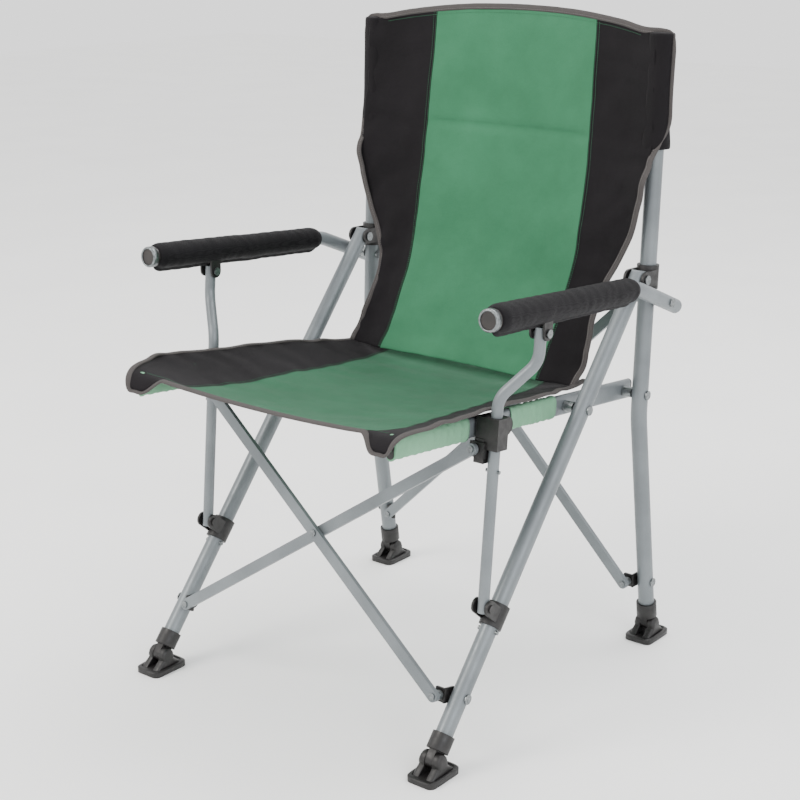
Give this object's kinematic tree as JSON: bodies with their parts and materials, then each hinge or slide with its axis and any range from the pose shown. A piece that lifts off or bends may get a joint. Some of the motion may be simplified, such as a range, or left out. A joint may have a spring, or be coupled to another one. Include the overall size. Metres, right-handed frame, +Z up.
{
  "type": "folding camp chair",
  "caption": "Folding camp chair with a steel tube frame, sliding collars, crossed braces, padded arms, a green cloth seat and a green and black back.",
  "frame": {"origin": "on the floor, in the middle of the chair's outline", "axes": "+Z up; the sitter faces -Y; +X is the side called left here"},
  "size_m": [0.6448, 0.648, 0.96],
  "materials": {
    "tube": "satin",
    "black_plastic": "matte",
    "rivet": "satin",
    "green_cloth": "matte",
    "black_cloth": "matte"
  },
  "bodies": {
    "left_upright_body": {"left_upright_tube": "tube", "left_upright_cap": "black_plastic", "left_upright_rivets": "rivet", "left_rear_knuckle": "black_plastic", "left_rear_swivel": "black_plastic", "left_back_pocket": "black_cloth"},
    "left_rear_shoe_body": {"left_rear_shoe": "black_plastic"},
    "left_collar_body": {"left_upper_collar": "black_plastic"},
    "left_front_leg_body": {"left_front_leg_tube": "tube", "left_front_leg_rivets": "rivet", "left_front_knuckle": "black_plastic"},
    "left_front_shoe_body": {"left_front_shoe": "black_plastic"},
    "left_front_swivel_body": {"left_front_swivel": "black_plastic"},
    "left_rail_body": {"left_rail_tube": "tube", "left_rail_plugs": "black_plastic", "left_rail_rivets": "rivet", "left_rail_sleeve": "green_cloth"},
    "left_hub_body": {"left_hub": "black_plastic"},
    "left_post_body": {"left_post_tube": "tube", "left_post_pins": "rivet"},
    "left_lower_collar_body": {"left_lower_collar": "black_plastic"},
    "left_arm_body": {"left_arm_tube": "tube", "left_arm_pad": "black_cloth", "left_arm_bracket": "black_plastic", "left_arm_cap": "black_plastic"},
    "right_upright_body": {"right_upright_tube": "tube", "right_upright_cap": "black_plastic", "right_upright_rivets": "rivet", "right_rear_knuckle": "black_plastic", "right_rear_swivel": "black_plastic", "right_back_pocket": "black_cloth", "back_fabric": "green_cloth"},
    "right_rear_shoe_body": {"right_rear_shoe": "black_plastic"},
    "right_collar_body": {"right_upper_collar": "black_plastic"},
    "right_front_leg_body": {"right_front_leg_tube": "tube", "right_front_leg_rivets": "rivet", "right_front_knuckle": "black_plastic"},
    "right_front_shoe_body": {"right_front_shoe": "black_plastic"},
    "right_front_swivel_body": {"right_front_swivel": "black_plastic"},
    "right_rail_body": {"right_rail_tube": "tube", "right_rail_plugs": "black_plastic", "right_rail_rivets": "rivet", "right_rail_sleeve": "green_cloth", "seat_fabric": "green_cloth"},
    "right_hub_body": {"right_hub": "black_plastic"},
    "right_post_body": {"right_post_tube": "tube", "right_post_pins": "rivet"},
    "right_lower_collar_body": {"right_lower_collar": "black_plastic"},
    "right_arm_body": {"right_arm_tube": "tube", "right_arm_pad": "black_cloth", "right_arm_bracket": "black_plastic", "right_arm_cap": "black_plastic"},
    "front_brace_left_body": {"front_brace_left": "tube", "front_brace_left_rivets": "rivet"},
    "rear_brace_left_body": {"rear_brace_left": "tube", "rear_brace_left_rivets": "rivet"},
    "front_brace_right_body": {"front_brace_right": "tube", "front_brace_right_rivets": "rivet"},
    "rear_brace_right_body": {"rear_brace_right": "tube", "rear_brace_right_rivets": "rivet"}
  },
  "joints": [
    {"name": "fold", "type": "slide", "parent": "right_upright_body", "child": "left_upright_body", "axis": [-1, 0, 0], "range_m": [0, 0.416], "deforming": ["seat_fabric", "back_fabric"]},
    {"name": "left_collar_slide", "type": "slide", "parent": "left_upright_body", "child": "left_collar_body", "axis": [0, 0.0349, 0.9994], "range_m": [0, 0.2]},
    {"name": "left_leg_hinge", "type": "hinge", "parent": "left_collar_body", "child": "left_front_leg_body", "pos_m": [0.263, 0.21253, 0.60105], "axis": [1, 0, 0], "range_deg": [0, 38.74]},
    {"name": "left_front_foot", "type": "hinge", "parent": "left_front_leg_body", "child": "left_front_shoe_body", "pos_m": [0.263, -0.275, 0.025], "axis": [1, 0, 0], "range_deg": [-40, 12]},
    {"name": "left_rear_foot", "type": "hinge", "parent": "left_upright_body", "child": "left_rear_shoe_body", "pos_m": [0.263, 0.291, 0.025], "axis": [1, 0, 0], "range_deg": [-20, 20]},
    {"name": "left_swivel", "type": "hinge", "parent": "left_front_leg_body", "child": "left_front_swivel_body", "pos_m": [0.263, -0.21576, 0.095], "axis": [-1, 0, 0], "range_deg": [0, 22.03]},
    {"name": "left_lower_slide", "type": "slide", "parent": "left_front_leg_body", "child": "left_lower_collar_body", "axis": [0, 0.646, 0.7633], "range_m": [0, 0.25425]},
    {"name": "left_rail_hinge", "type": "hinge", "parent": "left_upright_body", "child": "left_rail_body", "pos_m": [0.263, 0.23619, 0.419], "axis": [-1, 0, 0], "range_deg": [0, 76.53]},
    {"name": "left_arm_hinge", "type": "hinge", "parent": "left_upright_body", "child": "left_arm_body", "pos_m": [0.263, 0.24132, 0.566], "axis": [-1, 0, 0], "range_deg": [0, 72.35]},
    {"name": "left_post_hinge", "type": "hinge", "parent": "left_arm_body", "child": "left_post_body", "pos_m": [0.303, -0.1, 0.59], "axis": [1, 0, 0], "range_deg": [0, 84.41]},
    {"name": "left_hub_slide", "type": "slide", "parent": "left_post_body", "child": "left_hub_body", "axis": [0, 0.0905, 0.9959], "range_m": [-0.00863, 0]},
    {"name": "left_front_brace_hinge", "type": "hinge", "parent": "right_hub_body", "child": "front_brace_left_body", "pos_m": [-0.2415, -0.15735, 0.43112], "axis": [0.0846, 0.9834, -0.1604], "range_deg": [0, 48.97]},
    {"name": "left_rear_brace_hinge", "type": "hinge", "parent": "left_upright_body", "child": "rear_brace_left_body", "pos_m": [0.2415, 0.26413, 0.1], "axis": [-0.0136, 0.9999, -0.0065], "range_deg": [0, 40.3]},
    {"name": "right_collar_slide", "type": "slide", "parent": "right_upright_body", "child": "right_collar_body", "axis": [0, 0.0349, 0.9994], "range_m": [0, 0.2]},
    {"name": "right_leg_hinge", "type": "hinge", "parent": "right_collar_body", "child": "right_front_leg_body", "pos_m": [-0.263, 0.21253, 0.60105], "axis": [1, 0, 0], "range_deg": [0, 38.74]},
    {"name": "right_front_foot", "type": "hinge", "parent": "right_front_leg_body", "child": "right_front_shoe_body", "pos_m": [-0.263, -0.275, 0.025], "axis": [1, 0, 0], "range_deg": [-40, 12]},
    {"name": "right_rear_foot", "type": "hinge", "parent": "right_upright_body", "child": "right_rear_shoe_body", "pos_m": [-0.263, 0.291, 0.025], "axis": [1, 0, 0], "range_deg": [-20, 20]},
    {"name": "right_swivel", "type": "hinge", "parent": "right_front_leg_body", "child": "right_front_swivel_body", "pos_m": [-0.263, -0.21576, 0.095], "axis": [-1, 0, 0], "range_deg": [0, 22.03]},
    {"name": "right_lower_slide", "type": "slide", "parent": "right_front_leg_body", "child": "right_lower_collar_body", "axis": [0, 0.646, 0.7633], "range_m": [0, 0.25425]},
    {"name": "right_rail_hinge", "type": "hinge", "parent": "right_upright_body", "child": "right_rail_body", "pos_m": [-0.263, 0.23619, 0.419], "axis": [-1, 0, 0], "range_deg": [0, 76.53]},
    {"name": "right_arm_hinge", "type": "hinge", "parent": "right_upright_body", "child": "right_arm_body", "pos_m": [-0.263, 0.24132, 0.566], "axis": [-1, 0, 0], "range_deg": [0, 72.35]},
    {"name": "right_post_hinge", "type": "hinge", "parent": "right_arm_body", "child": "right_post_body", "pos_m": [-0.303, -0.1, 0.59], "axis": [1, 0, 0], "range_deg": [0, 84.41]},
    {"name": "right_hub_slide", "type": "slide", "parent": "right_post_body", "child": "right_hub_body", "axis": [0, 0.0905, 0.9959], "range_m": [-0.00863, 0]},
    {"name": "right_front_brace_hinge", "type": "hinge", "parent": "left_hub_body", "child": "front_brace_right_body", "pos_m": [0.2415, -0.15735, 0.43112], "axis": [0.0846, -0.9834, 0.1604], "range_deg": [0, 48.97]},
    {"name": "right_rear_brace_hinge", "type": "hinge", "parent": "right_upright_body", "child": "rear_brace_right_body", "pos_m": [-0.2415, 0.26413, 0.1], "axis": [-0.0136, -0.9999, 0.0065], "range_deg": [0, 40.3]}
  ],
  "couplings": [
    {"joint": "left_collar_slide", "follows": "fold", "ratio": 0.47838},
    {"joint": "left_leg_hinge", "follows": "fold", "rad_per_m": 1.6045},
    {"joint": "left_swivel", "follows": "fold", "rad_per_m": 0.90318},
    {"joint": "left_lower_slide", "follows": "fold", "ratio": 0.60876},
    {"joint": "left_rail_hinge", "follows": "fold", "rad_per_m": 3.1899},
    {"joint": "left_arm_hinge", "follows": "fold", "rad_per_m": 3.0144},
    {"joint": "left_post_hinge", "follows": "fold", "rad_per_m": 3.5206},
    {"joint": "left_hub_slide", "follows": "fold", "ratio": -0.018332},
    {"joint": "left_front_brace_hinge", "follows": "fold", "rad_per_m": 2.0334},
    {"joint": "left_rear_brace_hinge", "follows": "fold", "rad_per_m": 1.6698},
    {"joint": "right_collar_slide", "follows": "fold", "ratio": 0.47838},
    {"joint": "right_leg_hinge", "follows": "fold", "rad_per_m": 1.6045},
    {"joint": "right_swivel", "follows": "fold", "rad_per_m": 0.90318},
    {"joint": "right_lower_slide", "follows": "fold", "ratio": 0.60876},
    {"joint": "right_rail_hinge", "follows": "fold", "rad_per_m": 3.1899},
    {"joint": "right_arm_hinge", "follows": "fold", "rad_per_m": 3.0144},
    {"joint": "right_post_hinge", "follows": "fold", "rad_per_m": 3.5206},
    {"joint": "right_hub_slide", "follows": "fold", "ratio": -0.018332},
    {"joint": "right_front_brace_hinge", "follows": "fold", "rad_per_m": 2.0334},
    {"joint": "right_rear_brace_hinge", "follows": "fold", "rad_per_m": 1.6698}
  ]
}
